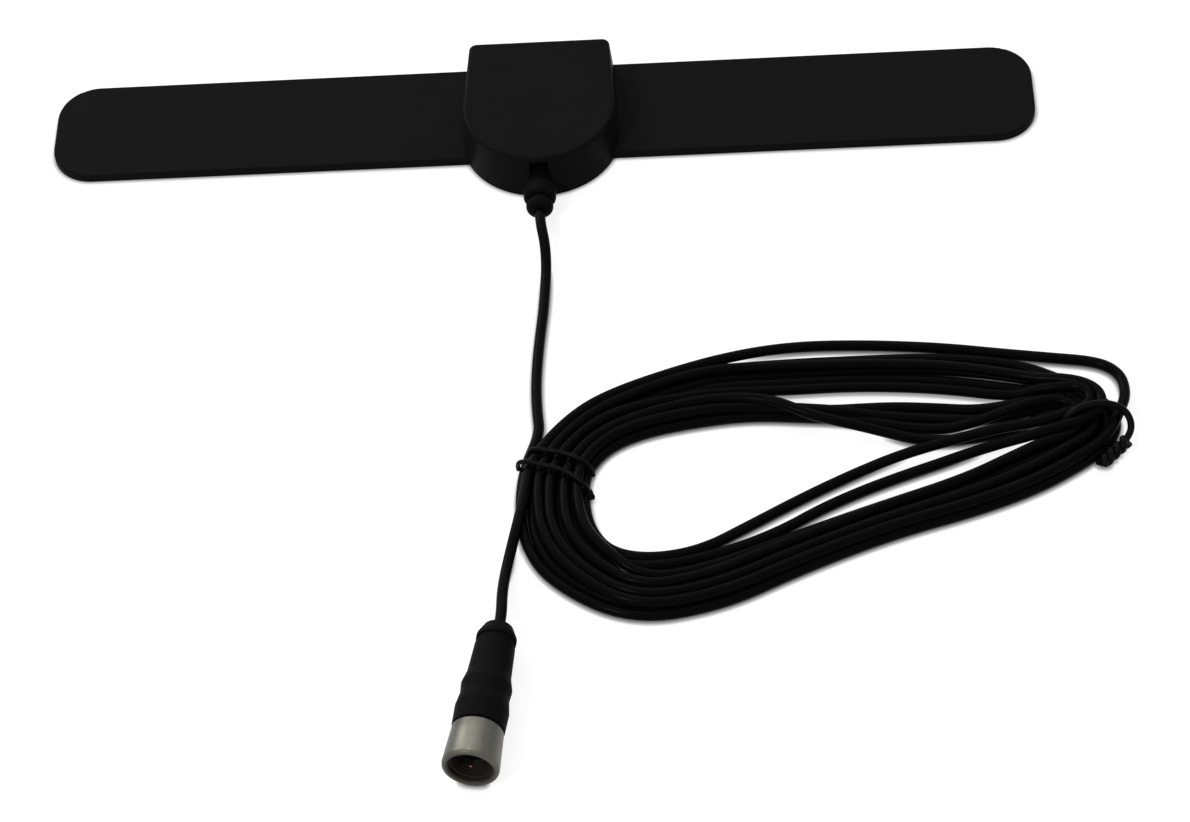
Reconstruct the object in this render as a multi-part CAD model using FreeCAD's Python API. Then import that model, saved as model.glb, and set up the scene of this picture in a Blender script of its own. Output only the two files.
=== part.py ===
"""Flat indoor TV antenna: strip with a D-shaped dome, coiled thin coaxial cable and screw-on plug.

Millimetres. The origin is the middle of the strip on its back face. +X runs along the strip, +Y points
away from the cable towards the dome's flat side, and +Z points out of the strip's front face.
"""
import FreeCAD, Part
import math
import os

Vector = FreeCAD.Vector

# Strip: front shell on a back plate
strip_length = 240.0
strip_width = 30.4
strip_corner_radius = 10.0
back_plate_thickness = 1.0
front_thickness = 1.1
strip_edge_radius = 0.45

# Dome, D-shaped in plan, its flat side flush with the far edge of the strip
dome_height = 12.0
dome_back_width = 35.8
dome_front_width = 40.4
dome_reach = 26.6
dome_back_radius = 2.6
dome_front_flat = 0.26
dome_least_radius = 0.2
dome_draft = 0.8
dome_edge_radius = 0.9
dome_wall = 1.4

# Screws that hold the back plate to the dome's bosses
screw_shank = 2.0
screw_length = 6.5
screw_head = 3.4
screw_head_land = 0.3
screw_clearance = 0.08
boss_diameter = 4.8
boss_back_inset_x = 5.0
boss_back_inset_y = 4.8
boss_front_angle = 35.0
boss_wall_gap = 0.35

# Dipole elements, sheet metal in a pocket of the strip
element_thickness = 0.3
element_side_margin = 3.2
element_end_margin = 4.5
element_corner_radius = 6.0
element_dome_gap = 1.8
element_clearance = 0.05
pocket_clearance = 0.4
tab_width = 7.0
tab_gap = 8.0

# Circuit board on two posts of the back plate
board_width = 15.5
board_thickness = 1.0
board_height = 2.6
board_wall_gap = 3.0
board_boss_gap = 0.4
board_post_diameter = 3.6
board_screw_inset_x = 4.2
board_screw_inset_y = 3.1
board_screw_shank = 1.6
board_screw_length = 2.2
board_screw_head = 2.8
board_screw_head_height = 0.9
feed_pin_diameter = 0.9
feed_pin_tab_inset = 2.5
feed_pin_board_inset = 1.9
feed_pin_clearance = 0.05
feed_pin_stand_out = 0.6

# Two-hole ferrite core with its winding
core_length = 6.4
core_width = 5.0
core_height = 3.6
core_inset = 4.4
core_top_radius = 1.6
core_hole = 1.4
core_hole_spacing = 2.8
winding_wire = 0.5
winding_reach = 1.3
winding_bend = 0.8

# Chip parts in a row in front of the winding
chip_length = 2.0
chip_width = 1.25
chip_height = 0.8
chip_gap = 0.4
chip_spacing = 4.4
chips_per_side = 2

# Cable and its stripped inner end
cable_diameter = 2.5
dielectric_diameter = 1.5
dielectric_lift = 0.15
dielectric_length = 5.1
conductor_diameter = 0.5
conductor_length = 2.8
jacket_board_gap = 3.6
cable_clearance = 0.05
terminal_length = 2.2
terminal_width = 1.8
saddle_length = 7.0
saddle_width = 3.6
saddle_inset = 3.1
saddle_cover = 1.6

# Strain relief in the dome's front wall
port_clearance = 0.1
port_notch_width = 4.4
relief_flange_lift = 0.1
relief_flange_step = 0.6
relief_flange_depth = 1.2
relief_collar = 7.8
relief_collar_start = 1.5
relief_collar_depth = 4.4
relief_groove = 5.2
relief_groove_depth = 1.1
relief_bulb = 6.5
relief_bulb_depth = 2.5
relief_collar_back_radius = 0.6
relief_collar_front_radius = 1.2
relief_bulb_back_radius = 0.55
relief_bulb_front_radius = 1.6

# Cable that lies on the floor: chosen points of the lead and the tail
floor_clearance = 0.05
arc_share = 0.45
lie = cable_diameter / 2 + floor_clearance
exit_run = 3.8
lead_points = (
    (1.1, -45.2, 3.5),
    (1.9, -51.2, 1.9),
    (2.0, -58.2, lie),
    (1.3, -65.4, lie),
    (0.5, -72.8, lie),
    (-0.3, -80.4, lie),
    (-0.6, -88.0, lie),
    (-0.3, -95.4, lie),
    (0.8, -102.4, lie),
)
tail_points = (
    (-2.4, -120.6, lie),
    (-4.1, -127.6, lie),
    (-5.4, -134.8, lie + 0.1),
    (-6.3, -141.6, 2.1),
    (-6.9, -148.2, 3.5),
)

# Coil: outer edge, inner edge and the strands that stand clear of the bundle
coil_height = 5.6
coil_edge_radius = 2.0
strand_height = 2.0
coil_outer_points = (
    (-6.0, -119.0),
    (0.6, -102.0),
    (20.0, -88.8),
    (48.0, -83.8),
    (80.0, -83.8),
    (108.0, -87.0),
    (126.0, -95.4),
    (133.6, -108.0),
    (121.0, -119.0),
    (98.0, -130.4),
    (64.0, -142.6),
    (37.0, -155.2),
    (12.0, -154.4),
    (-3.8, -139.6),
)
coil_inner_points = (
    (11.0, -118.0),
    (15.4, -107.0),
    (33.0, -101.4),
    (54.0, -96.6),
    (82.0, -95.2),
    (106.0, -99.6),
    (118.0, -106.4),
    (98.0, -119.0),
    (68.0, -130.0),
    (42.0, -138.8),
    (19.0, -138.6),
    (12.0, -129.6),
)
loose_strand_points = (
    (36.0, -86.2),
    (47.0, -82.0),
    (60.0, -80.6),
    (76.0, -80.8),
    (92.0, -83.0),
    (107.0, -85.4),
    (119.0, -87.0),
    (128.0, -89.6),
    (133.0, -96.0),
    (130.6, -104.6),
)
upper_strand_points = (
    (40.0, -96.4),
    (54.0, -98.8),
    (70.0, -99.8),
    (86.0, -99.4),
    (101.0, -101.2),
    (115.0, -101.0),
)
sagging_strand_points = (
    (36.0, -98.0),
    (52.0, -100.2),
    (68.0, -103.0),
    (84.0, -106.8),
    (101.0, -105.2),
    (117.0, -99.6),
)
middle_strand_points = (
    (34.0, -139.8),
    (49.0, -130.0),
    (65.0, -120.4),
    (83.0, -112.0),
    (102.0, -105.6),
    (119.0, -101.6),
)
lower_strand_points = (
    (48.0, -137.6),
    (60.0, -129.6),
    (76.0, -119.8),
    (93.0, -114.2),
    (108.0, -109.4),
    (121.0, -104.6),
)

# Twist ties round the coil: where each wire loop crosses the bundle, and its twisted ends
tie_wire = 1.1
tie_sink = 0.3
tie_stub_diameter = 1.8
tie_stub_end_radius = 0.45
tie_stub_height = 2.6
tie_corner_radius = 1.6
left_tie_span = ((12.4, -120.2), (-5.2, -111.8))
left_tie_stub = ((12.4, -120.2), (14.4, -122.4))
right_tie_span = ((116.6, -107.6), (132.2, -110.4))
right_tie_stub = ((132.2, -110.4), (127.2, -118.6))

# Plug: boot, ferrule, post, insulator and pin, measured along the plug from its cable end
plug_rear = (-7.9, -159.0)
plug_heading = (-5.2, -35.6)
boot_length = 27.0
boot_rear_radius = 4.4
boot_shoulder = 2.6
boot_ring_start = 3.6
boot_ring_width = 1.5
boot_ring_depth = 0.35
boot_waist_flare = 0.4
boot_ripple_flare = 1.15
boot_valley_dip = 0.25
boot_front_flare = 0.3
boot_lip_taper = 0.15
boot_front_length = 5.0
boot_valley_to_front = 3.4
boot_ripple_to_valley = 2.6
boot_waist_to_ripple = 3.0
boot_soft_radius = 1.2
ferrule_length = 10.0
ferrule_outer = 5.0
post_seat = 8.0
post_flange_fit = 0.35
post_flange_step = 0.7
post_flange_depth = 1.6
post_bore = 4.2
insulator_inset = 1.5
pin_seat = 4.0
pin_stand_back = 0.8
plug_fit = 0.05

# Coupling nut that spins on the post
nut_length = 9.8
nut_gap = 0.3
nut_back_wall = 0.85
nut_front_wall = 1.45
nut_rim_radius = 0.8
nut_rim_lean = 0.2
nut_back_edge_radius = 0.35
nut_lip = 1.4
nut_running_fit = 0.06
nut_end_play = 0.3
nut_bore = 9.5
nut_mouth_chamfer = 0.4

# Strip and dome: places that follow from the sizes above
tolerance = 1e-4
strip_thickness = back_plate_thickness + front_thickness
strip_edge_y = strip_width / 2
roof_height = dome_height - dome_wall
screw_head_depth = back_plate_thickness - screw_head_land
boss_back_x = dome_back_width / 2 - boss_back_inset_x
boss_back_y = strip_edge_y - boss_back_inset_y

# Elements, board and cable end: places that follow
element_width = strip_width - 2 * element_side_margin
element_start = dome_front_width / 2 + element_dome_gap
element_top = back_plate_thickness + element_thickness
board_length = dome_back_width - 2 * (dome_wall + dome_draft + board_wall_gap)
board_top = board_height + board_thickness
board_back_y = boss_back_y - boss_diameter / 2 - board_boss_gap
board_front_y = board_back_y - board_width
board_screw_x = board_length / 2 - board_screw_inset_x
board_screw_y = board_back_y - board_screw_inset_y
tab_middle_y = board_front_y + feed_pin_board_inset
feed_pin_x = tab_gap / 2 + feed_pin_tab_inset
core_y = board_back_y - core_inset
winding_near_y = core_y - core_width / 2 - winding_reach
winding_far_y = core_y + core_width / 2 + winding_reach
chip_y = winding_near_y - winding_wire / 2 - chip_gap - chip_width / 2
cable_height = board_top + dielectric_diameter / 2 + dielectric_lift
jacket_end_y = board_front_y - jacket_board_gap
dielectric_end_y = jacket_end_y + dielectric_length
conductor_end_y = dielectric_end_y + conductor_length
saddle_y = jacket_end_y - saddle_inset

# Strain relief: places that follow
relief_flange = 2 * (cable_height - back_plate_thickness - relief_flange_lift)
relief_neck = relief_flange - 2 * relief_flange_step
relief_face_y = -dome_reach
relief_depth = relief_collar_start + relief_collar_depth + relief_groove_depth + relief_bulb_depth
relief_end_y = relief_face_y - relief_depth

# Plug: radii, and places along its axis that follow
boot_waist_radius = boot_rear_radius + boot_waist_flare
boot_ripple_radius = boot_rear_radius + boot_ripple_flare
boot_valley_radius = boot_ripple_radius - boot_valley_dip
boot_front_radius = boot_ripple_radius + boot_front_flare
boot_lip_radius = boot_front_radius - boot_lip_taper
boot_front_at = boot_length - boot_front_length
boot_valley_at = boot_front_at - boot_valley_to_front
boot_ripple_at = boot_valley_at - boot_ripple_to_valley
boot_waist_at = boot_ripple_at - boot_waist_to_ripple
post_start = boot_length - post_seat
post_flange = nut_bore - 2 * post_flange_fit
post_barrel = post_flange - 2 * post_flange_step
ferrule_start = post_start - ferrule_length
insulator_start = post_start + insulator_inset
pin_start = post_start - pin_seat
nut_back_radius = nut_bore / 2 + nut_back_wall
nut_front_radius = nut_bore / 2 + nut_front_wall
nut_start = boot_length + nut_gap
nut_end = nut_start + nut_length
lip_end = nut_start + nut_lip
flange_start = lip_end + nut_end_play
flange_end = flange_start + post_flange_depth


# Outlines and basic shapes

def corner_arc(before, at, after, tangent):
    """Start, middle and end of the arc that rounds one corner, and its radius."""
    way_in = (at - before).normalize()
    way_out = (after - at).normalize()
    half_turn = way_in.getAngle(way_out) / 2
    radius = tangent / math.tan(half_turn)
    inward = (way_out - way_in).normalize()
    middle = at + inward * (radius / math.cos(half_turn) - radius)
    return at - way_in * tangent, middle, at + way_out * tangent, radius


def half_turn_at(before, at, after):
    """Half of the angle by which the outline turns at a corner."""
    return (at - before).normalize().getAngle((after - at).normalize()) / 2


def joined_edges(arcs, start, end):
    """Edges from start to end through the arcs, with a straight line before, between and after them."""
    edges = []
    here = start
    for first, middle, last, radius in arcs:
        if (first - here).Length > tolerance:
            edges.append(Part.LineSegment(here, first).toShape())
        edges.append(Part.Arc(first, middle, last).toShape())
        here = last
    if (end - here).Length > tolerance:
        edges.append(Part.LineSegment(here, end).toShape())
    return edges


def rounded_loop(corners, radii):
    """Closed wire through the corners, each rounded by its own radius; a radius of 0 stays sharp."""
    count = len(corners)
    edges = []
    ends = []
    for i in range(count):
        before, at, after = corners[i - 1], corners[i], corners[(i + 1) % count]
        if radii[i] > 0:
            tangent = radii[i] * math.tan(half_turn_at(before, at, after))
            ends.append(corner_arc(before, at, after, tangent))
        else:
            ends.append((at, at, at, 0))
    for i in range(count):
        first, middle, last, radius = ends[i]
        following = ends[(i + 1) % count][0]
        if radius > 0:
            edges.append(Part.Arc(first, middle, last).toShape())
        if (following - last).Length > tolerance:
            edges.append(Part.LineSegment(last, following).toShape())
    return Part.Wire(edges)


def soft_loop(points, z):
    """Closed wire through chosen points, each corner rounded as far as its two runs allow."""
    corners = [Vector(x, y, z) for x, y in points]
    count = len(corners)
    radii = []
    for i in range(count):
        before, at, after = corners[i - 1], corners[i], corners[(i + 1) % count]
        tangent = arc_share * min((at - before).Length, (after - at).Length)
        radii.append(tangent / math.tan(half_turn_at(before, at, after)))
    return rounded_loop(corners, radii)


def slab(wire, height):
    """Solid of a closed flat outline, raised by a height."""
    return Part.Face(wire).extrude(Vector(0, 0, height))


def rectangle(length, width, radius, z):
    """Outline of a rectangle with round corners, centred on the origin."""
    signs = ((1, 1), (-1, 1), (-1, -1), (1, -1))
    corners = [Vector(sx * length / 2, sy * width / 2, z) for sx, sy in signs]
    return rounded_loop(corners, [radius] * len(corners))


def upright(diameter, height, x, y, z):
    """Upright cylinder."""
    return Part.makeCylinder(diameter / 2, height, Vector(x, y, z))


def turned(corners):
    """Body of revolution about Z from corners given as (radius, height, rounding)."""
    points = [Vector(radius, 0, along) for radius, along, rounding in corners]
    wire = rounded_loop(points, [rounding for radius, along, rounding in corners])
    return Part.Face(wire).revolve(Vector(0, 0, 0), Vector(0, 0, 1), 360)


def edges_at_height(shape, z):
    """Edges of a shape that lie level at a height."""
    level = []
    for edge in shape.Edges:
        if abs(edge.BoundBox.ZMin - z) < tolerance and abs(edge.BoundBox.ZMax - z) < tolerance:
            level.append(edge)
    return level


def tube(name, points, diameter):
    """Round tube along straight runs joined by tangent arcs as large as the runs allow."""
    corners = [Vector(*point) for point in points]
    arcs = []
    for before, at, after in zip(corners, corners[1:], corners[2:]):
        tangent = arc_share * min((at - before).Length, (after - at).Length)
        arcs.append(corner_arc(before, at, after, tangent))
    path = Part.Wire(joined_edges(arcs, corners[0], corners[-1]))
    ring = Part.Wire(Part.makeCircle(diameter / 2, corners[0], corners[1] - corners[0]))
    solid = path.makePipeShell([ring], True, False)
    ratio = solid.Volume / (math.pi * diameter ** 2 / 4 * path.Length)
    radii = ", ".join(f"{radius:.0f}" for first, middle, last, radius in arcs)
    print(f"{name}: length {path.Length:.1f} mm, volume ratio {ratio:.4f}")
    print(f"{name}: arc radii {radii} mm")
    return solid


# Strip and dome

def dome_corners(inset, z):
    """Corners of the dome's plan before they are rounded, moved in by an inset."""
    back = strip_edge_y - inset
    front = inset - dome_reach
    back_x = dome_back_width / 2 - inset
    front_x = dome_front_width / 2 - inset
    return [
        Vector(back_x, back, z),
        Vector(-back_x, back, z),
        Vector(-front_x, front, z),
        Vector(front_x, front, z),
    ]


def dome_front_radius(inset):
    """Radius of the round front, which leaves only a short flat in its middle."""
    corners = dome_corners(inset, 0)
    half_flat = dome_front_flat / 2
    return (corners[3].x - half_flat) / math.tan(half_turn_at(corners[1], corners[2], corners[3]))


def dome_outline(inset, z):
    """D outline of the dome, moved in by an inset."""
    back_radius = max(dome_back_radius - inset, dome_least_radius)
    front_radius = dome_front_radius(inset)
    return rounded_loop(dome_corners(inset, z), [back_radius, back_radius, front_radius, front_radius])


def boss_spots():
    """Middles of the screw bosses: two in the back corners and two inside the round front."""
    radius = dome_front_radius(0)
    reach = radius - dome_wall - dome_draft - boss_wall_gap - boss_diameter / 2
    angle = math.radians(boss_front_angle)
    front_x = reach * math.cos(angle)
    front_y = radius - dome_reach - reach * math.sin(angle)
    spots = ((boss_back_x, boss_back_y), (front_x, front_y))
    return [(side * x, y) for x, y in spots for side in (1, -1)]


def dome_block(inset, bottom, top):
    """Dome with drafted walls, moved in by an inset."""
    return Part.makeLoft([dome_outline(inset, bottom), dome_outline(inset + dome_draft, top)], True, True)


def relief_axis():
    """Placement that turns +Z outwards along the cable at the dome's front wall."""
    return FreeCAD.Placement(
        Vector(0, relief_face_y, cable_height),
        FreeCAD.Rotation(Vector(0, 0, 1), Vector(0, -1, 0)),
    )


def element_pocket():
    """Room for both elements and their tabs in the underside of the front shell."""
    depth = element_thickness + element_clearance
    reach = strip_length - 2 * (element_end_margin - pocket_clearance)
    wide = element_width + 2 * pocket_clearance
    radius = element_corner_radius + pocket_clearance
    pocket = slab(rectangle(reach, wide, radius, back_plate_thickness), depth)
    inner = 2 * (element_start - pocket_clearance)
    middle = Part.makeBox(inner, strip_width, depth, Vector(-inner / 2, -strip_edge_y, back_plate_thickness))
    slot_width = tab_width + 2 * pocket_clearance
    slot_start = Vector(-inner / 2, tab_middle_y - slot_width / 2, back_plate_thickness)
    slot = Part.makeBox(inner, slot_width, depth, slot_start)
    return pocket.cut(middle).fuse(slot)


def make_front_shell():
    """Strip skin and dome, moulded in one piece, with screw bosses and the cable port."""
    outline = rectangle(strip_length, strip_width, strip_corner_radius, back_plate_thickness)
    plate = slab(outline, front_thickness)
    plate = plate.makeFillet(strip_edge_radius, edges_at_height(plate, strip_thickness))
    dome = dome_block(0, back_plate_thickness, dome_height)
    dome = dome.makeFillet(dome_edge_radius, edges_at_height(dome, dome_height))
    cavity = dome_block(dome_wall, back_plate_thickness, roof_height)
    shell = plate.fuse(dome).cut(cavity).cut(element_pocket())
    boss_height = roof_height - back_plate_thickness + dome_wall / 2
    for x, y in boss_spots():
        shell = shell.fuse(upright(boss_diameter, boss_height, x, y, back_plate_thickness))
    pilot = screw_shank + 2 * screw_clearance
    for x, y in boss_spots():
        shell = shell.cut(upright(pilot, screw_length, x, y, back_plate_thickness))
    port = Part.makeCylinder(relief_neck / 2 + port_clearance, 2 * dome_wall + dome_draft)
    port.Placement = relief_axis()
    port.translate(Vector(0, 2 * dome_wall, 0))
    notch_height = roof_height - cable_height
    notch = Part.makeBox(
        port_notch_width, 3 * dome_wall, notch_height,
        Vector(-port_notch_width / 2, relief_face_y - dome_wall, cable_height),
    )
    return shell.cut(port).cut(notch).removeSplitter()


def make_back_plate():
    """Flat plate behind the strip and dome, with screw holes and two posts for the board."""
    strip = slab(rectangle(strip_length, strip_width, strip_corner_radius, 0), back_plate_thickness)
    plate = strip.fuse(slab(dome_outline(0, 0), back_plate_thickness)).removeSplitter()
    shank_hole = screw_shank / 2 + screw_clearance
    head_hole = screw_head / 2 + screw_clearance
    for x, y in boss_spots():
        plate = plate.cut(upright(2 * shank_hole, back_plate_thickness, x, y, 0))
        plate = plate.cut(Part.makeCone(head_hole, shank_hole, screw_head_depth, Vector(x, y, 0)))
    post_height = board_height - back_plate_thickness
    hole = board_screw_shank + 2 * screw_clearance
    for x in (board_screw_x, -board_screw_x):
        plate = plate.fuse(upright(board_post_diameter, post_height, x, board_screw_y, back_plate_thickness))
        plate = plate.cut(upright(hole, post_height, x, board_screw_y, back_plate_thickness))
    return plate.removeSplitter()


def make_back_screws():
    """Four countersunk screws, heads flush with the back face."""
    screws = []
    for x, y in boss_spots():
        head = Part.makeCone(screw_head / 2, screw_shank / 2, screw_head_depth, Vector(x, y, 0))
        shank = upright(screw_shank, screw_length - screw_head_depth, x, y, screw_head_depth)
        screws.append(head.fuse(shank).removeSplitter())
    return Part.makeCompound(screws)


def make_element(side):
    """Half of the dipole: a plate in the arm and a feed tab that reaches into the dome."""
    end_x = strip_length / 2 - element_end_margin
    half = element_width / 2
    corners = [
        Vector(side * element_start, half, back_plate_thickness),
        Vector(side * end_x, half, back_plate_thickness),
        Vector(side * end_x, -half, back_plate_thickness),
        Vector(side * element_start, -half, back_plate_thickness),
    ]
    outline = rounded_loop(corners, [0, element_corner_radius, element_corner_radius, 0])
    plate = slab(outline, element_thickness)
    tab_length = element_start - tab_gap / 2
    tab_x = tab_gap / 2 if side > 0 else -element_start
    tab = Part.makeBox(
        tab_length, tab_width, element_thickness,
        Vector(tab_x, tab_middle_y - tab_width / 2, back_plate_thickness),
    )
    return plate.fuse(tab).removeSplitter()


# Circuit board and what it carries

def make_circuit_board():
    """Board with holes for its two screws and two feed pins."""
    board = Part.makeBox(
        board_length, board_width, board_thickness,
        Vector(-board_length / 2, board_front_y, board_height),
    )
    screw_hole = board_screw_shank + 2 * screw_clearance
    pin_hole = feed_pin_diameter + 2 * feed_pin_clearance
    for side in (1, -1):
        screw_x = side * board_screw_x
        board = board.cut(upright(screw_hole, board_thickness, screw_x, board_screw_y, board_height))
        pin_x = side * feed_pin_x
        board = board.cut(upright(pin_hole, board_thickness, pin_x, tab_middle_y, board_height))
    return board


def make_board_screws():
    """Two pan-head screws that hold the board on its posts."""
    screws = []
    for x in (board_screw_x, -board_screw_x):
        tip = board_top - board_screw_length
        shank = upright(board_screw_shank, board_screw_length, x, board_screw_y, tip)
        head = upright(board_screw_head, board_screw_head_height, x, board_screw_y, board_top)
        screws.append(shank.fuse(head).removeSplitter())
    return Part.makeCompound(screws)


def make_feed_pins():
    """Two pins from the element tabs up through the board."""
    height = board_top + feed_pin_stand_out - element_top
    pins = []
    for x in (feed_pin_x, -feed_pin_x):
        pins.append(upright(feed_pin_diameter, height, x, tab_middle_y, element_top))
    return Part.makeCompound(pins)


def make_balun_core():
    """Ferrite block with two holes along Y and a rounded top."""
    near_y = core_y - core_width / 2
    half = core_length / 2
    core_top = board_top + core_height
    corners = [
        Vector(half, near_y, core_top),
        Vector(-half, near_y, core_top),
        Vector(-half, near_y, board_top),
        Vector(half, near_y, board_top),
    ]
    outline = rounded_loop(corners, [core_top_radius, core_top_radius, 0, 0])
    core = Part.Face(outline).extrude(Vector(0, core_width, 0))
    for side in (1, -1):
        start = Vector(side * core_hole_spacing / 2, near_y, board_top + core_height / 2)
        core = core.cut(Part.makeCylinder(core_hole / 2, core_width, start, Vector(0, 1, 0)))
    return core


def make_balun_winding():
    """Wire that runs through both holes of the core, with its two ends on the board."""
    x = core_hole_spacing / 2
    z = board_top + core_height / 2
    route = [
        Vector(x, winding_near_y, board_top),
        Vector(x, winding_near_y, z),
        Vector(x, winding_far_y, z),
        Vector(-x, winding_far_y, z),
        Vector(-x, winding_near_y, z),
        Vector(-x, winding_near_y, board_top),
    ]
    arcs = [corner_arc(a, b, c, winding_bend) for a, b, c in zip(route, route[1:], route[2:])]
    path = Part.Wire(joined_edges(arcs, route[0], route[-1]))
    ring = Part.Wire(Part.makeCircle(winding_wire / 2, route[0], Vector(0, 0, 1)))
    return path.makePipeShell([ring], True, False)


def make_chip_parts():
    """Small chip parts in a row in front of the winding."""
    chips = []
    for side in (1, -1):
        for place in range(1, chips_per_side + 1):
            corner = Vector(side * place * chip_spacing - chip_length / 2, chip_y - chip_width / 2, board_top)
            chips.append(Part.makeBox(chip_length, chip_width, chip_height, corner))
    return Part.makeCompound(chips)


# Inner end of the cable and the strain relief

def along_cable(diameter, start_y, end_y):
    """Straight round piece on the cable's axis inside the dome."""
    start = Vector(0, start_y, cable_height)
    return Part.makeCylinder(diameter / 2, end_y - start_y, start, Vector(0, 1, 0))


def make_signal_terminal():
    """Block on the board that the cable's conductor is soldered into."""
    middle_y = conductor_end_y - terminal_length / 2
    block = Part.makeBox(
        terminal_width, terminal_length, cable_height - board_top,
        Vector(-terminal_width / 2, middle_y - terminal_length / 2, board_top),
    )
    return block.cut(along_cable(conductor_diameter, dielectric_end_y, conductor_end_y))


def make_cable_saddle():
    """Block on the back plate with a bore that holds the cable's jacket."""
    height = cable_height + cable_diameter / 2 + saddle_cover - back_plate_thickness
    block = Part.makeBox(
        saddle_length, saddle_width, height,
        Vector(-saddle_length / 2, saddle_y - saddle_width / 2, back_plate_thickness),
    )
    bore = cable_diameter + 2 * cable_clearance
    return block.cut(along_cable(bore, saddle_y - saddle_width, saddle_y + saddle_width))


def make_strain_relief():
    """Rubber gland: inner flange, neck through the wall, collar, groove and rounded end."""
    bore = cable_diameter / 2 + cable_clearance
    flange_top = -(dome_wall + dome_draft)
    collar_end = relief_collar_start + relief_collar_depth
    groove_end = collar_end + relief_groove_depth
    profile = [
        (bore, flange_top - relief_flange_depth, 0),
        (relief_flange / 2, flange_top - relief_flange_depth, 0),
        (relief_flange / 2, flange_top, 0),
        (relief_neck / 2, flange_top, 0),
        (relief_neck / 2, relief_collar_start, 0),
        (relief_collar / 2, relief_collar_start, relief_collar_back_radius),
        (relief_collar / 2, collar_end, relief_collar_front_radius),
        (relief_groove / 2, collar_end, 0),
        (relief_groove / 2, groove_end, 0),
        (relief_bulb / 2, groove_end, relief_bulb_back_radius),
        (relief_bulb / 2, relief_depth, relief_bulb_front_radius),
        (bore, relief_depth, 0),
    ]
    relief = turned(profile)
    relief.Placement = relief_axis()
    return relief


# Coil and ties

def make_tie(span, stub):
    """Twist tie: a wire loop across the bundle, with its twisted ends as a stub."""
    inside = Vector(span[0][0], span[0][1], 0)
    outside = Vector(span[1][0], span[1][1], 0)
    low = tie_wire / 2 + floor_clearance
    high = coil_height - tie_sink
    corners = [
        inside + Vector(0, 0, low),
        inside + Vector(0, 0, high),
        outside + Vector(0, 0, high),
        outside + Vector(0, 0, low),
    ]
    path = rounded_loop(corners, [tie_corner_radius] * len(corners))
    start = path.Edges[-1].valueAt(path.Edges[-1].FirstParameter)
    way = path.Edges[-1].tangentAt(path.Edges[-1].FirstParameter)
    loop = Part.Wire(path.Edges[-1:] + path.Edges[:-1])
    wire = loop.makePipeShell([Part.Wire(Part.makeCircle(tie_wire / 2, start, way))], True, False)
    stub_start = Vector(stub[0][0], stub[0][1], tie_stub_height)
    stub_end = Vector(stub[1][0], stub[1][1], tie_stub_height)
    way = stub_end - stub_start
    twist = Part.makeCylinder(tie_stub_diameter / 2, way.Length, stub_start, way)
    twist = twist.makeFillet(tie_stub_end_radius, [edge for edge in twist.Edges if edge.Closed])
    return wire.fuse(twist)


def make_coil(ties):
    """Bundle of turns as one ring, with the strands that stand clear of it, grooved under the ties."""
    hole = slab(soft_loop(coil_inner_points, 0), coil_height)
    coil = slab(soft_loop(coil_outer_points, 0), coil_height).cut(hole)
    coil = coil.makeFillet(coil_edge_radius, edges_at_height(coil, 0) + edges_at_height(coil, coil_height))
    strands = (
        ("loose strand", loose_strand_points),
        ("upper strand", upper_strand_points),
        ("sagging strand", sagging_strand_points),
        ("middle strand", middle_strand_points),
        ("lower strand", lower_strand_points),
    )
    for name, points in strands:
        coil = coil.fuse(tube(name, [(x, y, strand_height) for x, y in points], cable_diameter))
    for tie in ties:
        coil = coil.cut(tie)
    return coil


# Plug

def plug_tilt():
    """Angle at which the plug lies on the floor, on its boot's front ripple and its nut's rim."""
    rise = nut_front_radius - boot_front_radius
    run = nut_end - nut_rim_radius - boot_front_at
    return math.atan(rise / run)


def plug_direction():
    """Direction of the plug's axis, from the cable towards the mouth of the nut."""
    level = Vector(plug_heading[0], plug_heading[1], 0).normalize()
    return level * math.cos(plug_tilt()) + Vector(0, 0, math.sin(plug_tilt()))


def plug_start():
    """Middle of the boot's rear face."""
    tilt = plug_tilt()
    height = floor_clearance + boot_front_radius * math.cos(tilt) - boot_front_at * math.sin(tilt)
    return Vector(plug_rear[0], plug_rear[1], height)


def on_plug(shape):
    """Moves a shape that was made about Z to where the plug lies."""
    shape.Placement = FreeCAD.Placement(plug_start(), FreeCAD.Rotation(Vector(0, 0, 1), plug_direction()))
    return shape


def make_plug_boot():
    """Moulded boot with a sloped shoulder, a ring groove and two soft grip ripples."""
    bore = cable_diameter / 2 + cable_clearance
    ferrule_bore = ferrule_outer / 2 + plug_fit
    post_room = post_barrel / 2 + plug_fit
    ring_end = boot_ring_start + boot_ring_width
    ring_floor = boot_rear_radius - boot_ring_depth
    profile = [
        (bore, 0, 0),
        (boot_rear_radius - boot_soft_radius, 0, boot_ring_depth),
        (boot_rear_radius, boot_shoulder, boot_ring_depth),
        (boot_rear_radius, boot_ring_start, 0),
        (ring_floor, boot_ring_start, 0),
        (ring_floor, ring_end, 0),
        (boot_rear_radius, ring_end, 0),
        (boot_waist_radius, boot_waist_at, boot_soft_radius),
        (boot_ripple_radius, boot_ripple_at, boot_soft_radius),
        (boot_valley_radius, boot_valley_at, boot_soft_radius),
        (boot_front_radius, boot_front_at, boot_soft_radius),
        (boot_lip_radius, boot_length, boot_ring_depth),
        (post_room, boot_length, 0),
        (post_room, post_start, 0),
        (ferrule_bore, post_start, 0),
        (ferrule_bore, ferrule_start, 0),
        (bore, ferrule_start, 0),
    ]
    return on_plug(turned(profile))


def make_plug_cable_end():
    """Straight end of the cable inside the boot and the ferrule."""
    return on_plug(Part.makeCylinder(cable_diameter / 2, pin_start))


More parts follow.
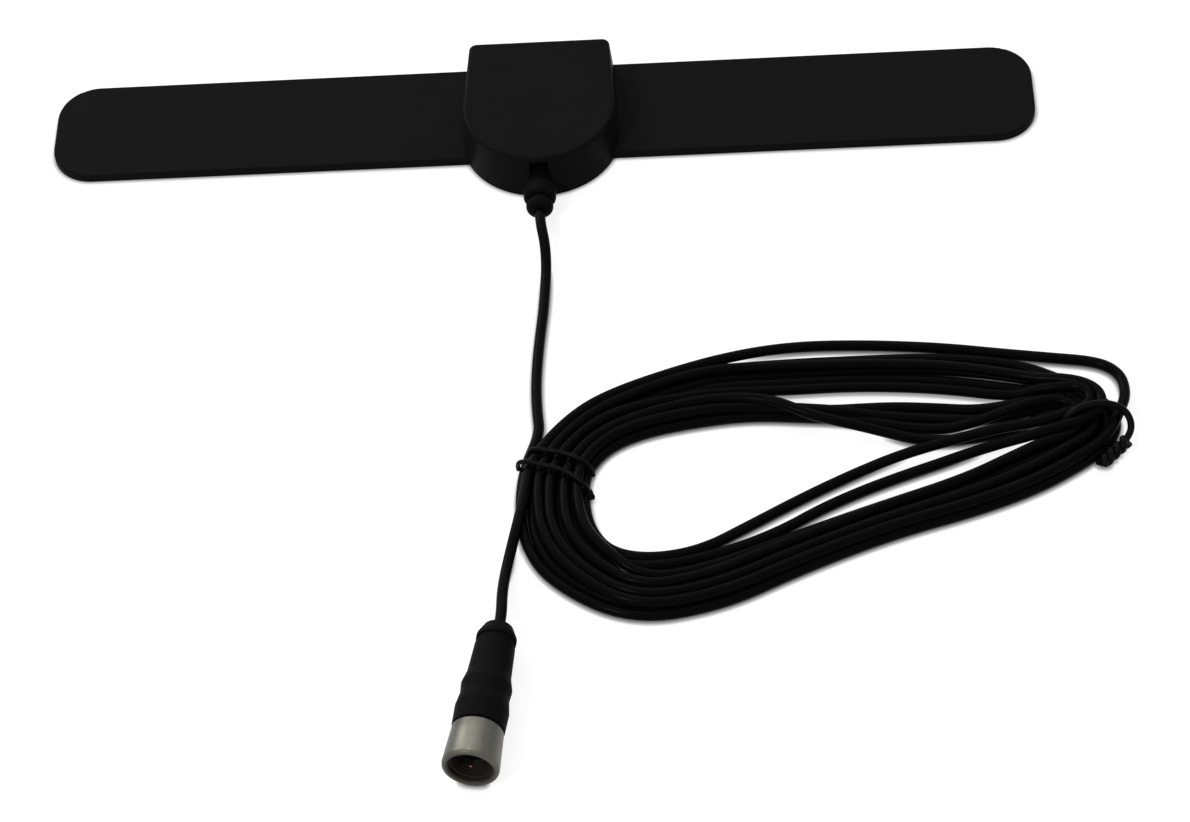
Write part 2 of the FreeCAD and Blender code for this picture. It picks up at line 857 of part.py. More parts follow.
def make_plug_ferrule():
    """Crimped sleeve round the cable's braid."""
    bore = cable_diameter / 2 + cable_clearance
    radius = ferrule_outer / 2
    profile = [
        (bore, ferrule_start, 0),
        (radius, ferrule_start, 0),
        (radius, post_start, 0),
        (bore, post_start, 0),
    ]
    return on_plug(turned(profile))


def make_plug_post():
    """Hollow post that the nut turns on, with the flange that keeps the nut."""
    barrel = post_barrel / 2
    flange = post_flange / 2
    bore = post_bore / 2
    profile = [
        (bore, post_start, 0),
        (barrel, post_start, 0),
        (barrel, flange_start, 0),
        (flange, flange_start, 0),
        (flange, flange_end, 0),
        (bore, flange_end, 0),
    ]
    return on_plug(turned(profile))


def make_plug_insulator():
    """White insulator inside the post, round the pin."""
    bore = conductor_diameter / 2 + plug_fit
    radius = post_bore / 2 - plug_fit
    profile = [
        (bore, insulator_start, 0),
        (radius, insulator_start, 0),
        (radius, flange_end, 0),
        (bore, flange_end, 0),
    ]
    return on_plug(turned(profile))


def make_plug_pin():
    """Centre conductor that stands in the mouth of the nut."""
    length = nut_end - pin_stand_back - pin_start
    return on_plug(Part.makeCylinder(conductor_diameter / 2, length, Vector(0, 0, pin_start)))


def make_plug_nut():
    """Round coupling nut, flared to a thick rounded rim."""
    running = post_barrel / 2 + nut_running_fit
    mouth = nut_bore / 2
    profile = [
        (running, nut_start, 0),
        (nut_back_radius, nut_start, nut_back_edge_radius),
        (nut_front_radius, nut_end - nut_rim_radius, nut_rim_radius),
        (nut_front_radius - nut_rim_lean, nut_end, nut_back_edge_radius),
        (mouth + nut_mouth_chamfer, nut_end, 0),
        (mouth, nut_end - nut_mouth_chamfer, 0),
        (mouth, lip_end, 0),
        (running, lip_end, 0),
    ]
    return on_plug(turned(profile))


# All nodes

def make_nodes():
    """Every piece by its node's name."""
    left_tie = make_tie(left_tie_span, left_tie_stub)
    right_tie = make_tie(right_tie_span, right_tie_stub)
    coil = make_coil((left_tie, right_tie))
    exit_points = ((0, relief_end_y, cable_height), (0, relief_end_y - exit_run, cable_height))
    lead = tube("cable_lead", exit_points + lead_points, cable_diameter)
    rear = plug_start()
    entry = rear - plug_direction() * exit_run
    entry_points = ((entry.x, entry.y, entry.z), (rear.x, rear.y, rear.z))
    tail = tube("cable_tail", tail_points + entry_points, cable_diameter)
    return {
        "front_shell": make_front_shell(),
        "back_plate": make_back_plate(),
        "back_screws": make_back_screws(),
        "left_element": make_element(-1),
        "right_element": make_element(1),
        "circuit_board": make_circuit_board(),
        "board_screws": make_board_screws(),
        "feed_pins": make_feed_pins(),
        "balun_core": make_balun_core(),
        "balun_winding": make_balun_winding(),
        "chip_parts": make_chip_parts(),
        "signal_terminal": make_signal_terminal(),
        "cable_saddle": make_cable_saddle(),
        "cable_inner_end": along_cable(cable_diameter, relief_end_y, jacket_end_y),
        "coax_dielectric": along_cable(dielectric_diameter, jacket_end_y, dielectric_end_y),
        "coax_conductor": along_cable(conductor_diameter, dielectric_end_y, conductor_end_y),
        "strain_relief": make_strain_relief(),
        "cable_lead": lead.cut(coil),
        "cable_coil": coil,
        "cable_tail": tail.cut(coil),
        "left_tie": left_tie,
        "right_tie": right_tie,
        "plug_boot": make_plug_boot(),
        "plug_cable_end": make_plug_cable_end(),
        "plug_ferrule": make_plug_ferrule(),
        "plug_post": make_plug_post(),
        "plug_insulator": make_plug_insulator(),
        "plug_pin": make_plug_pin(),
        "plug_nut": make_plug_nut(),
    }


os.makedirs("parts", exist_ok=True)
for node, shape in make_nodes().items():
    if not shape.isValid():
        print(f"{node}: not valid")
    if len(shape.Solids) != 1:
        print(f"{node}: {len(shape.Solids)} solids")
    shape.exportStep(f"parts/{node}.step")
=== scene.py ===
"""Dressed scene of a flat indoor television antenna with a coiled cable and a screw-on plug."""

from __future__ import annotations

import logging
import math
from dataclasses import dataclass
from enum import Enum

import bpy
from mathutils import Matrix
from mathutils import Vector

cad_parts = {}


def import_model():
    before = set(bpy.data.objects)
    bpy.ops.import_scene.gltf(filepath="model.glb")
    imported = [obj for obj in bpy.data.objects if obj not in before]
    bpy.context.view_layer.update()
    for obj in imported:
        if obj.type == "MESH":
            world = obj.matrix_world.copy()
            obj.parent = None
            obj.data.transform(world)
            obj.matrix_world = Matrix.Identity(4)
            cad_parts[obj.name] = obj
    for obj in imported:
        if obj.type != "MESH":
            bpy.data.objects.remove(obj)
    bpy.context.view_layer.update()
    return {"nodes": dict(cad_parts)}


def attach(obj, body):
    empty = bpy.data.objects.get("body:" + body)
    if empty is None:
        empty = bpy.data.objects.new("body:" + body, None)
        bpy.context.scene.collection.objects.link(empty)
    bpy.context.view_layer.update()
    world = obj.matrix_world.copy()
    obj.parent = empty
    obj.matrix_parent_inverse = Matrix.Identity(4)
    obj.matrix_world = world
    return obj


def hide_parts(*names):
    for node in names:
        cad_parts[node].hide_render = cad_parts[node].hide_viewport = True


LOG = logging.getLogger("antenna_scene")
MILLIMETRE = 0.001

Point = tuple[float, float, float]
Place = tuple[float, float]
Colour = tuple[float, float, float]
Link = tuple[bpy.types.Node, str, bpy.types.Node, str | int]

# The rear end of the plug's axis, in millimetres, and the way the axis points
PLUG_REAR: Point = (-7.9, -159.0, 5.35995)
PLUG_HEADING: Point = (-0.144490418, -0.989203632, 0.024468197)

UPWARD = Vector((0.0, 0.0, 1.0))
SPLINE_ORDER = 3


class Body(Enum):
    """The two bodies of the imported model."""

    ANTENNA = "antenna"
    NUT = "nut"


class Slot(Enum):
    """The record's material slots."""

    SHELL = "shell_plastic"
    SCREW = "screw_steel"
    ELEMENT = "element_metal"
    BOARD = "board_laminate"
    PIN = "pin_metal"
    FERRITE = "ferrite"
    COPPER = "copper_wire"
    CHIP = "chip_body"
    SADDLE = "saddle_plastic"
    RELIEF = "relief_rubber"
    CABLE = "cable_jacket"
    DIELECTRIC = "dielectric"
    TIE = "tie_plastic"
    BOOT = "boot_plastic"
    NICKEL = "nickel_plate"


class Effect(Enum):
    """The shared surface effects, each one a shader node group."""

    GRAIN = "moulded_grain"
    DRIFT = "tone_drift"
    RUB = "rubbed_edges"
    DUST = "settled_dust"
    DRAWN = "drawn_metal"


class NodeBench:
    """A node tree with short ways to add nodes and join them."""

    def __init__(self, tree: bpy.types.NodeTree) -> None:
        """Takes the tree to work on and clears it."""
        self.tree = tree
        self.tree.nodes.clear()

    def add(self, kind: str, **values: object) -> bpy.types.Node:
        """Adds a node.

        Args:
            kind: the node's type name.
            values: node settings by name, with underscores for the spaces of an input's name.

        Returns:
            The new node.
        """
        node = self.tree.nodes.new(kind)
        for name, value in values.items():
            if hasattr(node, name):
                setattr(node, name, value)
            else:
                node.inputs[name.replace("_", " ")].default_value = value
        return node

    def join(self, source: bpy.types.NodeSocket, target: bpy.types.NodeSocket) -> None:
        """Links one socket to another."""
        self.tree.links.new(source, target)

    def wire(self, *links: Link) -> None:
        """Links the sockets of nodes.

        Args:
            links: for each link, a node and its output, then the next node and its input.
        """
        for source, output, target, entry in links:
            self.join(source.outputs[output], target.inputs[entry])


class SurfaceEffects:
    """Builds the shared effect groups once and places them in materials."""

    def build(self) -> None:
        """Makes every effect group."""
        self._grain()
        self._drift()
        self._rub()
        self._dust()
        self._drawn()

    def place(self, bench: NodeBench, effect: Effect, **values: object) -> bpy.types.Node:
        """Places an effect group in a material.

        Args:
            bench: the material's bench.
            effect: which effect.
            values: the group's inputs by name, with underscores for spaces.

        Returns:
            The group node.
        """
        node = bench.tree.nodes.new("ShaderNodeGroup")
        node.node_tree = bpy.data.node_groups[effect.value]
        for name, value in values.items():
            node.inputs[name.replace("_", " ")].default_value = value
        return node

    def _start(
        self, effect: Effect, inputs: dict[str, str], outputs: dict[str, str]
    ) -> tuple[NodeBench, bpy.types.Node, bpy.types.Node]:
        """Starts a group with its sockets.

        Args:
            effect: which effect the group makes.
            inputs: socket type by input name.
            outputs: socket type by output name.

        Returns:
            The group's bench, its input node and its output node.
        """
        tree = bpy.data.node_groups.new(effect.value, "ShaderNodeTree")
        bench = NodeBench(tree)
        for name, kind in inputs.items():
            tree.interface.new_socket(name, in_out="INPUT", socket_type=kind)
        for name, kind in outputs.items():
            tree.interface.new_socket(name, in_out="OUTPUT", socket_type=kind)
        return bench, bench.add("NodeGroupInput"), bench.add("NodeGroupOutput")

    def _grain(self) -> None:
        """A fine moulded texture: height for a bump, and coarser specks."""
        bench, given, result = self._start(
            Effect.GRAIN,
            {"Size": "NodeSocketFloat", "Speck Size": "NodeSocketFloat"},
            {"Height": "NodeSocketFloat", "Specks": "NodeSocketFloat"},
        )
        place = bench.add("ShaderNodeTexCoord")
        fine = bench.add("ShaderNodeTexNoise", Detail=4.0, Roughness=0.65)
        specks = bench.add("ShaderNodeTexNoise", Detail=2.0, Roughness=0.5)
        bench.wire(
            (place, "Object", fine, "Vector"),
            (place, "Object", specks, "Vector"),
            (given, "Size", fine, "Scale"),
            (given, "Speck Size", specks, "Scale"),
            (fine, "Fac", result, "Height"),
            (specks, "Fac", result, "Specks"),
        )

    def _drift(self) -> None:
        """A colour that is a little lighter and darker in patches."""
        bench, given, result = self._start(
            Effect.DRIFT,
            {"Color": "NodeSocketColor", "Spread": "NodeSocketFloat", "Patches": "NodeSocketFloat"},
            {"Color": "NodeSocketColor"},
        )
        place = bench.add("ShaderNodeTexCoord")
        patches = bench.add("ShaderNodeTexNoise", Detail=3.0, Roughness=0.55)
        centred = bench.add("ShaderNodeMath", operation="SUBTRACT")
        centred.inputs[1].default_value = 0.5
        spread = bench.add("ShaderNodeMath", operation="MULTIPLY_ADD")
        spread.inputs[2].default_value = 1.0
        scaled = bench.add("ShaderNodeVectorMath", operation="SCALE")
        bench.wire(
            (place, "Object", patches, "Vector"),
            (given, "Patches", patches, "Scale"),
            (patches, "Fac", centred, 0),
            (centred, "Value", spread, 0),
            (given, "Spread", spread, 1),
            (given, "Color", scaled, 0),
            (spread, "Value", scaled, "Scale"),
            (scaled, "Vector", result, "Color"),
        )

    def _rub(self) -> None:
        """A mask of the edges that handling has rubbed."""
        bench, given, result = self._start(
            Effect.RUB,
            {"Amount": "NodeSocketFloat", "Breaks": "NodeSocketFloat"},
            {"Mask": "NodeSocketFloat"},
        )
        place = bench.add("ShaderNodeTexCoord")
        shape = bench.add("ShaderNodeNewGeometry")
        edges = bench.add("ShaderNodeMapRange", From_Min=0.53, From_Max=0.66)
        breaks = bench.add("ShaderNodeTexNoise", Detail=4.0, Roughness=0.7)
        broken = bench.add("ShaderNodeMath", operation="MULTIPLY")
        amount = bench.add("ShaderNodeMath", operation="MULTIPLY", use_clamp=True)
        bench.wire(
            (place, "Object", breaks, "Vector"),
            (given, "Breaks", breaks, "Scale"),
            (shape, "Pointiness", edges, "Value"),
            (edges, "Result", broken, 0),
            (breaks, "Fac", broken, 1),
            (broken, "Value", amount, 0),
            (given, "Amount", amount, 1),
            (amount, "Value", result, "Mask"),
        )

    def _dust(self) -> None:
        """A thin film of dust on what faces up."""
        bench, given, result = self._start(
            Effect.DUST,
            {"Color": "NodeSocketColor", "Dust": "NodeSocketColor", "Amount": "NodeSocketFloat"},
            {"Color": "NodeSocketColor"},
        )
        place = bench.add("ShaderNodeTexCoord")
        shape = bench.add("ShaderNodeNewGeometry")
        parts = bench.add("ShaderNodeSeparateXYZ")
        up = bench.add("ShaderNodeMapRange", From_Min=0.25, From_Max=1.0)
        flecks = bench.add("ShaderNodeTexNoise", Scale=420.0, Detail=6.0, Roughness=0.75)
        film = bench.add("ShaderNodeMath", operation="MULTIPLY")
        amount = bench.add("ShaderNodeMath", operation="MULTIPLY", use_clamp=True)
        mixed = bench.add("ShaderNodeMix", data_type="RGBA")
        bench.wire(
            (place, "Object", flecks, "Vector"),
            (shape, "Normal", parts, "Vector"),
            (parts, "Z", up, "Value"),
            (up, "Result", film, 0),
            (flecks, "Fac", film, 1),
            (film, "Value", amount, 0),
            (given, "Amount", amount, 1),
            (amount, "Value", mixed, "Factor"),
            (given, "Color", mixed, "A"),
            (given, "Dust", mixed, "B"),
            (mixed, "Result", result, "Color"),
        )

    def _drawn(self) -> None:
        """Fine parallel lines of drawn or turned metal."""
        bench, given, result = self._start(
            Effect.DRAWN,
            {"Lines": "NodeSocketVector"},
            {"Height": "NodeSocketFloat", "Streaks": "NodeSocketFloat"},
        )
        place = bench.add("ShaderNodeTexCoord")
        stretched = bench.add("ShaderNodeVectorMath", operation="MULTIPLY")
        lines = bench.add("ShaderNodeTexNoise", Scale=1.0, Detail=5.0, Roughness=0.6)
        tarnish = bench.add("ShaderNodeTexNoise", Scale=260.0, Detail=3.0, Roughness=0.6)
        bench.wire(
            (place, "Object", stretched, 0),
            (given, "Lines", stretched, 1),
            (stretched, "Vector", lines, "Vector"),
            (place, "Object", tarnish, "Vector"),
            (lines, "Fac", result, "Height"),
            (tarnish, "Fac", result, "Streaks"),
        )


def start_material(name: str) -> tuple[bpy.types.Material, NodeBench, bpy.types.Node]:
    """Starts a material with a principled shader joined to its output.

    Args:
        name: the material's name.

    Returns:
        The material, its bench and the shader.
    """
    material = bpy.data.materials.new(name)
    material.use_nodes = True
    bench = NodeBench(material.node_tree)
    shader = bench.add("ShaderNodeBsdfPrincipled")
    output = bench.add("ShaderNodeOutputMaterial")
    bench.join(shader.outputs["BSDF"], output.inputs["Surface"])
    return material, bench, shader


def opaque(colour: Colour) -> tuple[float, float, float, float]:
    """The colour with a full alpha."""
    return (colour[0], colour[1], colour[2], 1.0)


def grey(level: float) -> tuple[float, float, float, float]:
    """A grey of one level with a full alpha."""
    return opaque((level, level, level))


def add_object(name: str, data: bpy.types.ID) -> bpy.types.Object:
    """Puts new data into the scene as an object.

    Args:
        name: the object's name.
        data: its mesh, curve, camera or lamp.

    Returns:
        The object.
    """
    made = bpy.data.objects.new(name, data)
    bpy.context.scene.collection.objects.link(made)
    return made


def start_curve(name: str, bevel_steps: int) -> bpy.types.Curve:
    """Starts a curve with a round section, whose radius is given at each point.

    Args:
        name: the curve's name.
        bevel_steps: the resolution of the section.

    Returns:
        The curve.
    """
    curve = bpy.data.curves.new(name, "CURVE")
    curve.dimensions = "3D"
    curve.bevel_depth = 1.0
    curve.bevel_resolution = bevel_steps
    curve.use_fill_caps = True
    return curve


def add_run(curve: bpy.types.Curve, points: list[Point], thickness: float, run_steps: int) -> None:
    """Adds one smooth spline to a curve.

    Args:
        curve: the curve.
        points: the spline's points, in millimetres.
        thickness: its thickness, in millimetres.
        run_steps: its resolution.
    """
    spline = curve.splines.new("NURBS")
    spline.points.add(len(points) - 1)
    for place, (x, y, z) in zip(spline.points, points):
        place.co = (x * MILLIMETRE, y * MILLIMETRE, z * MILLIMETRE, 1.0)
        place.radius = thickness / 2 * MILLIMETRE
    spline.order_u = SPLINE_ORDER
    spline.use_endpoint_u = True
    spline.resolution_u = run_steps


@dataclass(frozen=True)
class MouldedFinish:
    """A moulded or extruded plastic, rubber or ceramic surface."""

    slot: Slot
    colour: Colour
    rough_low: float
    rough_high: float
    specular: float
    grain: float
    depth: float
    spread: float = 0.3
    patches: float = 90.0
    rub: float = 0.0
    rub_colour: Colour = (0.06, 0.06, 0.06)
    dust: float = 0.0
    dust_colour: Colour = (0.12, 0.115, 0.105)
    subsurface: float = 0.0
    speck_share: float = 0.3
    rub_breaks: float = 600.0

    def material(self, effects: SurfaceEffects) -> bpy.types.Material:
        """Makes the finish.

        Args:
            effects: the shared effect groups.

        Returns:
            The material.
        """
        material, bench, shader = start_material(self.slot.value)
        shader.inputs["Specular IOR Level"].default_value = self.specular
        shader.inputs["Subsurface Weight"].default_value = self.subsurface
        shader.inputs["Subsurface Radius"].default_value = (MILLIMETRE, MILLIMETRE, MILLIMETRE)
        specks = self.grain * self.speck_share
        grain = effects.place(bench, Effect.GRAIN, Size=self.grain, Speck_Size=specks)
        drift = effects.place(
            bench, Effect.DRIFT, Color=opaque(self.colour), Spread=self.spread, Patches=self.patches
        )
        rub = effects.place(bench, Effect.RUB, Amount=self.rub, Breaks=self.rub_breaks)
        rubbed = bench.add("ShaderNodeMix", data_type="RGBA")
        rubbed.inputs["B"].default_value = opaque(self.rub_colour)
        dust = effects.place(bench, Effect.DUST, Dust=opaque(self.dust_colour), Amount=self.dust)
        rough = bench.add("ShaderNodeMapRange", To_Min=self.rough_low, To_Max=self.rough_high)
        bump = bench.add("ShaderNodeBump", Strength=1.0, Distance=self.depth)
        bench.wire(
            (drift, "Color", rubbed, "A"),
            (rub, "Mask", rubbed, "Factor"),
            (rubbed, "Result", dust, "Color"),
            (dust, "Color", shader, "Base Color"),
            (grain, "Specks", rough, "Value"),
            (rough, "Result", shader, "Roughness"),
            (grain, "Height", bump, "Height"),
            (bump, "Normal", shader, "Normal"),
        )
        return material


@dataclass(frozen=True)
class PaintedBoreShade:
    """Painted shade in a bore and on the rim's end face round it: a dark dull colour, full up to the inner
    radius and gone at the outer one, in millimetres.
    """

    start: Point
    heading: Point
    inner: float
    outer: float
    colour: Colour
    specular: float

    def mask(self, bench: NodeBench) -> bpy.types.NodeSocket:
        """The painted shade's mask, which is 1 near the axis.

        Args:
            bench: the material's bench.

        Returns:
            The mask's socket.
        """
        place = bench.add("ShaderNodeTexCoord")
        offset = bench.add("ShaderNodeVectorMath", operation="SUBTRACT")
        offset.inputs[1].default_value = Vector(self.start) * MILLIMETRE
        across = bench.add("ShaderNodeVectorMath", operation="CROSS_PRODUCT")
        across.inputs[1].default_value = self.heading
        reach = bench.add("ShaderNodeVectorMath", operation="LENGTH")
        painted_shade_share = bench.add("ShaderNodeMapRange", To_Min=1.0, To_Max=0.0)
        painted_shade_share.inputs["From Min"].default_value = self.inner * MILLIMETRE
        painted_shade_share.inputs["From Max"].default_value = self.outer * MILLIMETRE
        bench.wire(
            (place, "Object", offset, 0),
            (offset, "Vector", across, 0),
            (across, "Vector", reach, 0),
            (reach, "Value", painted_shade_share, "Value"),
        )
        return painted_shade_share.outputs["Result"]


@dataclass(frozen=True)
class PlatedFinish:
    """A plated, drawn or stamped metal surface."""

    slot: Slot
    colour: Colour
    tarnish: Colour
    rough_low: float
    rough_high: float
    lines: Point
    depth: float
    # The painted shade of a bore and its rim, if any
    bore: PaintedBoreShade | None = None
    tarnish_start: float = 0.35
    tarnish_full: float = 0.75

    def material(self, effects: SurfaceEffects) -> bpy.types.Material:
        """Makes the finish.

        Args:
            effects: the shared effect groups.

        Returns:
            The material.
        """
        material, bench, shader = start_material(self.slot.value)
        shader.inputs["Metallic"].default_value = 1.0
        drawn = effects.place(bench, Effect.DRAWN, Lines=self.lines)
        mixed = bench.add("ShaderNodeMix", data_type="RGBA")
        mixed.inputs["A"].default_value = opaque(self.colour)
        mixed.inputs["B"].default_value = opaque(self.tarnish)
        patches = bench.add(
            "ShaderNodeMapRange", From_Min=self.tarnish_start, From_Max=self.tarnish_full
        )
        rough = bench.add("ShaderNodeMapRange", To_Min=self.rough_low, To_Max=self.rough_high)
        bump = bench.add("ShaderNodeBump", Strength=1.0, Distance=self.depth)
        bench.wire(
            (drawn, "Streaks", patches, "Value"),
            (patches, "Result", mixed, "Factor"),
        )
        colour = mixed.outputs["Result"]
        # Painted shade: a dark, non-metallic colour near the plug's axis darkens the bore and the rim's end
        # face
        if self.bore is not None:
            painted_shade_mix = bench.add("ShaderNodeMix", data_type="RGBA")
            painted_shade_mix.inputs["B"].default_value = opaque(self.bore.colour)
            bare = bench.add("ShaderNodeMath", operation="SUBTRACT")
            bare.inputs[0].default_value = 1.0
            painted_shade_share = self.bore.mask(bench)
            bench.join(colour, painted_shade_mix.inputs["A"])
            bench.join(painted_shade_share, painted_shade_mix.inputs["Factor"])
            bench.join(painted_shade_share, bare.inputs[1])
            bench.join(bare.outputs["Value"], shader.inputs["Metallic"])
            shader.inputs["Specular IOR Level"].default_value = self.bore.specular
            colour = painted_shade_mix.outputs["Result"]
        bench.join(colour, shader.inputs["Base Color"])
        bench.wire(
            (drawn, "Streaks", rough, "Value"),
            (rough, "Result", shader, "Roughness"),
            (drawn, "Height", bump, "Height"),
            (bump, "Normal", shader, "Normal"),
        )
        return material


@dataclass(frozen=True)
class LaminateFinish:
    """The circuit board: solder resist over a glass weave, with copper showing through in tracks."""

    slot: Slot
    resist: Colour
    track: Colour
    weave_threads: float
    track_pitch: float
    track_gap: float
    rough_low: float
    rough_high: float
    specular: float
    depth: float
    spread: float
    patches: float

    def material(self, effects: SurfaceEffects) -> bpy.types.Material:
        """Makes the finish.

        Args:
            effects: the shared effect groups.

        Returns:
            The material.
        """
        material, bench, shader = start_material(self.slot.value)
        shader.inputs["Specular IOR Level"].default_value = self.specular
        place = bench.add("ShaderNodeTexCoord")
        weave = bench.add("ShaderNodeTexChecker", Scale=self.weave_threads)
        tracks = bench.add("ShaderNodeTexBrick", Scale=self.track_pitch, Mortar_Size=self.track_gap)
        drift = effects.place(
            bench, Effect.DRIFT, Color=opaque(self.resist), Spread=self.spread, Patches=self.patches
        )
        mixed = bench.add("ShaderNodeMix", data_type="RGBA")
        mixed.inputs["B"].default_value = opaque(self.track)
        rough = bench.add("ShaderNodeMapRange", To_Min=self.rough_low, To_Max=self.rough_high)
        bump = bench.add("ShaderNodeBump", Strength=1.0, Distance=self.depth)
        bench.wire(
            (place, "Object", weave, "Vector"),
            (place, "Object", tracks, "Vector"),
            (drift, "Color", mixed, "A"),
            (tracks, "Fac", mixed, "Factor"),
            (mixed, "Result", shader, "Base Color"),
            (weave, "Fac", rough, "Value"),
            (rough, "Result", shader, "Roughness"),
            (tracks, "Fac", bump, "Height"),
            (bump, "Normal", shader, "Normal"),
        )
        return material


# Painted shade for the nut's bore and the end face of its rim
NUT_BORE_PAINTED_SHADE = PaintedBoreShade(
    start=PLUG_REAR,
    heading=PLUG_HEADING,
    inner=4.6,
    outer=5.8,
    colour=(0.016, 0.0136, 0.0092),
    specular=0.05,
)
FINISHES: tuple[MouldedFinish | PlatedFinish | LaminateFinish, ...] = (
    MouldedFinish(
        Slot.SHELL, (0.0052, 0.0052, 0.0053), rough_low=0.34, rough_high=0.44, specular=0.012,
        grain=5200.0, depth=0.000008, rub=0.05, dust=0.003,
    ),
    MouldedFinish(
        Slot.CABLE, (0.0024, 0.0024, 0.0025), rough_low=0.17, rough_high=0.29, specular=0.014,
        grain=3600.0, depth=0.000006, dust=0.002,
    ),
    MouldedFinish(
        Slot.RELIEF, (0.004, 0.004, 0.0041), rough_low=0.4, rough_high=0.55, specular=0.01,
        grain=4200.0, depth=0.000016, dust=0.002,
    ),
    MouldedFinish(
        Slot.TIE, (0.0034, 0.0034, 0.0035), rough_low=0.24, rough_high=0.36, specular=0.03,
        grain=3000.0, depth=0.00001,
    ),
    MouldedFinish(
        Slot.BOOT, (0.0048, 0.0048, 0.0049), rough_low=0.42, rough_high=0.54, specular=0.008,
        grain=4600.0, depth=0.000012, rub=0.05, dust=0.002,
    ),
    MouldedFinish(
        Slot.SADDLE, (0.55, 0.54, 0.5), rough_low=0.4, rough_high=0.55, specular=0.4,
        grain=3000.0, depth=0.00001, subsurface=0.1,
    ),
    MouldedFinish(
        Slot.FERRITE, (0.02, 0.02, 0.021), rough_low=0.55, rough_high=0.8, specular=0.3,
        grain=5200.0, depth=0.00003,
    ),
    MouldedFinish(
        Slot.CHIP, (0.03, 0.028, 0.026), rough_low=0.35, rough_high=0.5, specular=0.4,
        grain=6000.0, depth=0.000006,
    ),
    MouldedFinish(
        Slot.DIELECTRIC, (0.74, 0.73, 0.68), rough_low=0.35, rough_high=0.5, specular=0.45,
        grain=2600.0, depth=0.000008, spread=0.08, subsurface=0.2,
    ),
    PlatedFinish(
        Slot.NICKEL, (0.104, 0.1, 0.086), tarnish=(0.078, 0.073, 0.06), rough_low=0.3, rough_high=0.44,
        lines=(900.0, 900.0, 60.0), depth=0.000004, bore=NUT_BORE_PAINTED_SHADE,
    ),
    PlatedFinish(
        Slot.SCREW, (0.34, 0.34, 0.35), tarnish=(0.22, 0.22, 0.22), rough_low=0.25, rough_high=0.4,
        lines=(700.0, 700.0, 60.0), depth=0.000003,
    ),
    PlatedFinish(
        Slot.ELEMENT, (0.62, 0.62, 0.63), tarnish=(0.5, 0.5, 0.5), rough_low=0.28, rough_high=0.42,
        lines=(20.0, 900.0, 900.0), depth=0.000003,
    ),
    PlatedFinish(
        Slot.PIN, (0.62, 0.6, 0.54), tarnish=(0.5, 0.47, 0.4), rough_low=0.22, rough_high=0.36,
        lines=(900.0, 900.0, 60.0), depth=0.000002,
    ),
    PlatedFinish(
        Slot.COPPER, (0.36, 0.18, 0.1), tarnish=(0.2, 0.09, 0.05), rough_low=0.22, rough_high=0.38,
        lines=(900.0, 90.0, 900.0), depth=0.000002,
    ),
    LaminateFinish(
        Slot.BOARD, resist=(0.012, 0.09, 0.04), track=(0.03, 0.16, 0.06), weave_threads=1400.0,
        track_pitch=240.0, track_gap=0.16, rough_low=0.3, rough_high=0.45, specular=0.45,
        depth=0.00002, spread=0.25, patches=300.0,
    ),
)


class Finishes:
    """The materials by slot, made once from the finishes."""

    def __init__(self) -> None:
        """Makes the effect groups and every material."""
        effects = SurfaceEffects()
        effects.build()
        self.by_slot = {finish.slot: finish.material(effects) for finish in FINISHES}

    def dress(self, piece: bpy.types.Object, slot: Slot) -> None:
        """Gives a piece the material of a slot, in every one of its material slots.

        Args:
            piece: the piece to dress.
            slot: the slot whose material it gets.
        """
        data = piece.data
        if not data.materials:
            data.materials.append(self.by_slot[slot])
        for place in piece.material_slots:
            place.material = self.by_slot[slot]


